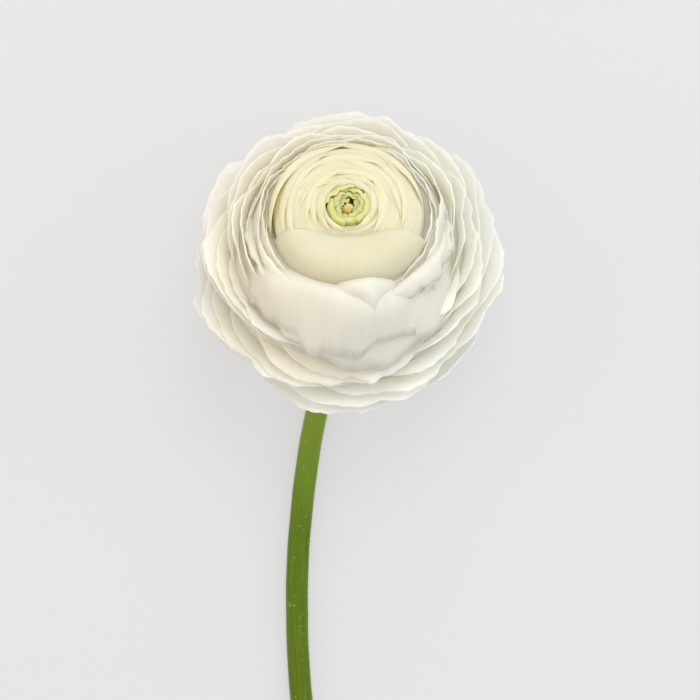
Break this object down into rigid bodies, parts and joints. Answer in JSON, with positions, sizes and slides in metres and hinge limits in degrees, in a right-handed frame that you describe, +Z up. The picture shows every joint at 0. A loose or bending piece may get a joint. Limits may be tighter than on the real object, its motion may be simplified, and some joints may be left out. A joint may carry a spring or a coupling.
{
  "type": "ranunculus flower",
  "caption": "Cut ranunculus flower lying face up: a round bloom of thin layered petals, cream in the middle round a small green heart, on a bare curved stem.",
  "frame": {"origin": "the small flat spot where the lowest outer petals touch the surface that the flower lies on", "axes": "+Z up from that surface; the stem runs towards -Y; the bloom's face looks up and leans towards +Y; +X is to the right with the stem pointing down the page"},
  "size_m": [0.0744, 0.1799, 0.0571],
  "materials": {
    "pistil": "matt and softly porous",
    "green_petal": "satin young petal",
    "cream_petal": "satin petal with a soft sheen",
    "white_petal": "satin petal with a soft sheen",
    "sepal": "matt leaf with fine hairs",
    "stem": "matt green skin, faintly ribbed"
  },
  "bodies": {
    "root": {"pistil": "pistil", "heart_petals": "green_petal", "inner_petals": "cream_petal", "outer_petals": "white_petal", "calyx": "sepal", "stem": "stem"}
  },
  "joints": []
}
